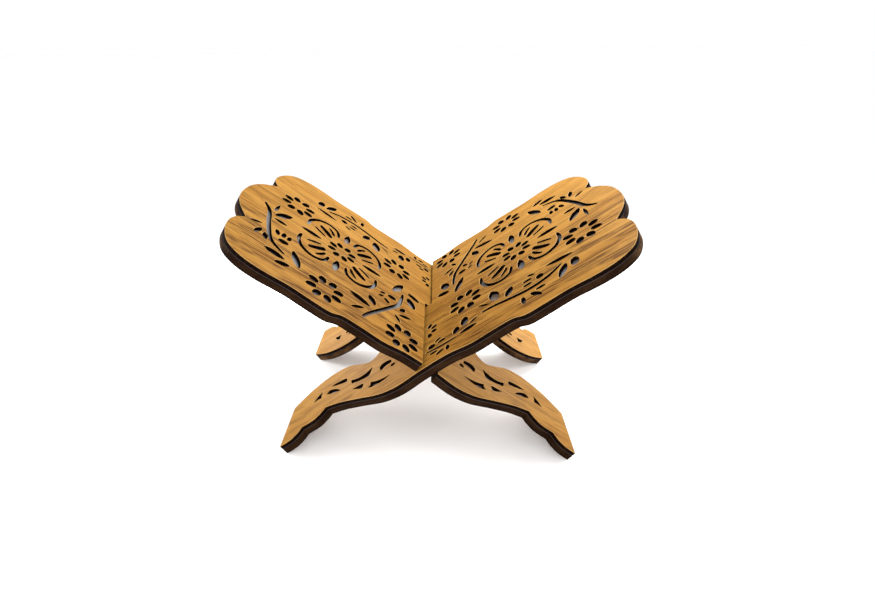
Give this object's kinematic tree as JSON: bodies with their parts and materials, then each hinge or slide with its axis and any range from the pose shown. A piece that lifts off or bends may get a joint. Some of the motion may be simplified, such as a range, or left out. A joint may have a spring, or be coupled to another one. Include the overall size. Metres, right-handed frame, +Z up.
{
  "type": "folding book stand",
  "caption": "Folding X-shaped book stand of two flat fretwork boards that cross in half-width slots, with scalloped wings and arched legs.",
  "frame": {"origin": "centre of the footprint, on the surface the four feet stand on, under the crossing", "axes": "+X towards the right wing, +Y from front to back along the crossing, +Z up"},
  "size_m": [0.2896, 0.1848, 0.1872],
  "materials": {
    "face_wood": "satin, laser-cut, edges charred black",
    "backing_wood": "matt brown fibreboard with a pale grey upper face"
  },
  "bodies": {
    "right_board": {"right_face_plate": "face_wood", "right_backing_board": "backing_wood"},
    "left_board": {"left_face_plate": "face_wood", "left_backing_board": "backing_wood"}
  },
  "joints": [
    {"name": "fold", "type": "hinge", "parent": "right_board", "child": "left_board", "pos_m": [0, 0, 0.08322], "axis": [0, 1, 0], "range_deg": [0, 39]}
  ]
}
